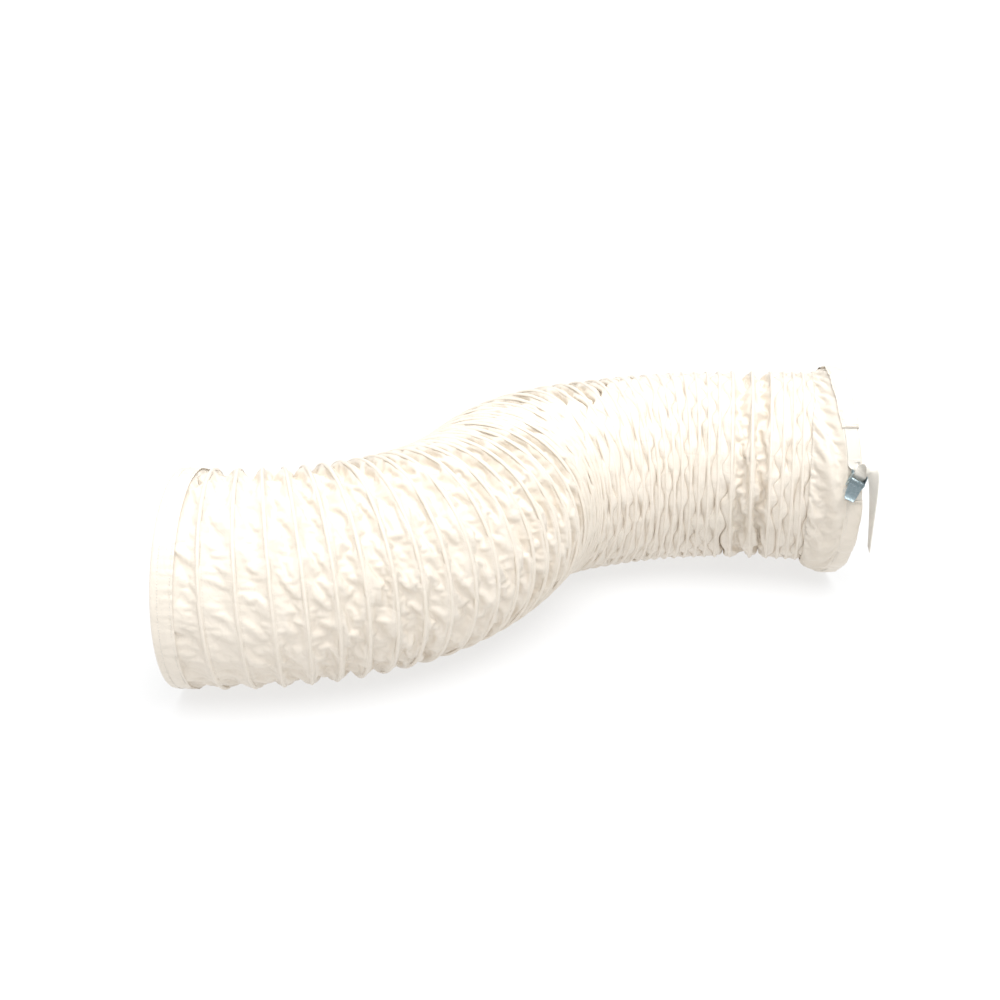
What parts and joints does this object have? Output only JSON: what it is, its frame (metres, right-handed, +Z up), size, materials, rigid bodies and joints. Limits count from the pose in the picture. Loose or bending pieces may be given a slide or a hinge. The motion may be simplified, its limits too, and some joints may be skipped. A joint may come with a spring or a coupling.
{
  "type": "flexible air duct",
  "caption": "Flexible ventilation duct in an S bend: coated fabric over a wire helix, with a wire-ring end and a fabric cuff closed by a webbing belt and cam buckle.",
  "frame": {"origin": "on the floor under the middle of the whole part", "axes": "+X along the length from the wire-ring end to the cuff, +Z up"},
  "size_m": [1.0358, 0.7398, 0.3397],
  "materials": {
    "coated_fabric": "satin PVC coating over woven scrim",
    "spring_wire": "drawn spring wire",
    "crimp_sleeve": "crimped",
    "webbing": "woven polyester",
    "plated_steel": "zinc plated"
  },
  "bodies": {
    "middle": {"cover_3": "coated_fabric", "wire_3": "spring_wire", "cover_4": "coated_fabric", "wire_4": "spring_wire", "cover_5": "coated_fabric", "wire_5": "spring_wire"},
    "left_inner": {"cover_2": "coated_fabric", "wire_2": "spring_wire"},
    "left_outer": {"cover_1": "coated_fabric", "wire_1": "spring_wire"},
    "left_end": {"end_hem": "coated_fabric", "end_ring": "spring_wire", "end_ferrule": "crimp_sleeve"},
    "right_inner": {"cover_6": "coated_fabric", "wire_6": "spring_wire"},
    "right_outer": {"cover_7": "coated_fabric", "wire_7": "spring_wire"},
    "right_end": {"cover_8": "coated_fabric", "wire_8": "spring_wire", "cuff_ring": "spring_wire", "cuff_ferrule": "crimp_sleeve", "cuff": "coated_fabric", "hem_tunnel": "coated_fabric", "tunnel_backing": "coated_fabric", "belt": "webbing", "belt_anchor": "webbing", "belt_throat": "webbing", "buckle_frame": "plated_steel", "cam_pin": "plated_steel", "anchor_bar": "plated_steel"},
    "cam": {"cam_lever": "plated_steel"},
    "strap_end": {"belt_tail": "webbing"}
  },
  "joints": [
    {"name": "left_bend", "type": "hinge", "parent": "middle", "child": "left_inner", "pos_m": [-0.13723, -0.08541, 0.1556], "axis": [0, 0, 1], "range_deg": [-18, 60], "deforming": ["cover_3", "wire_3"]},
    {"name": "left_lift", "type": "hinge", "parent": "left_inner", "child": "left_outer", "pos_m": [-0.25251, -0.17529, 0.1556], "axis": [-0.427, 0.9042, 0], "range_deg": [0, 35], "deforming": ["cover_2", "wire_2"]},
    {"name": "left_reach", "type": "slide", "parent": "left_outer", "child": "left_end", "axis": [-0.9957, -0.0922, 0], "range_m": [-0.115, 0.07], "deforming": ["cover_1", "wire_1"]},
    {"name": "right_bend", "type": "hinge", "parent": "middle", "child": "right_inner", "pos_m": [0.02155, 0.15882, 0.1556], "axis": [0, 0, 1], "range_deg": [-5, 80], "deforming": ["cover_5", "wire_5"]},
    {"name": "right_lift", "type": "hinge", "parent": "right_inner", "child": "right_outer", "pos_m": [0.1735, 0.2125, 0.15872], "axis": [0.1307, -0.9914, 0], "range_deg": [0, 35], "deforming": ["cover_6", "wire_6"]},
    {"name": "right_reach", "type": "slide", "parent": "right_outer", "child": "right_end", "axis": [0.9885, -0.1514, 0], "range_m": [-0.09, 0.19], "deforming": ["cover_7", "wire_7"]},
    {"name": "cam_turn", "type": "hinge", "parent": "right_end", "child": "cam", "pos_m": [0.48672, 0.00396, 0.21406], "axis": [-0.9043, 0.1252, 0.4082], "range_deg": [0, 75]},
    {"name": "strap_swing", "type": "hinge", "parent": "right_end", "child": "strap_end", "pos_m": [0.49437, 0.00612, 0.23034], "axis": [-0.9043, 0.1252, 0.4082], "range_deg": [0, 18]}
  ]
}
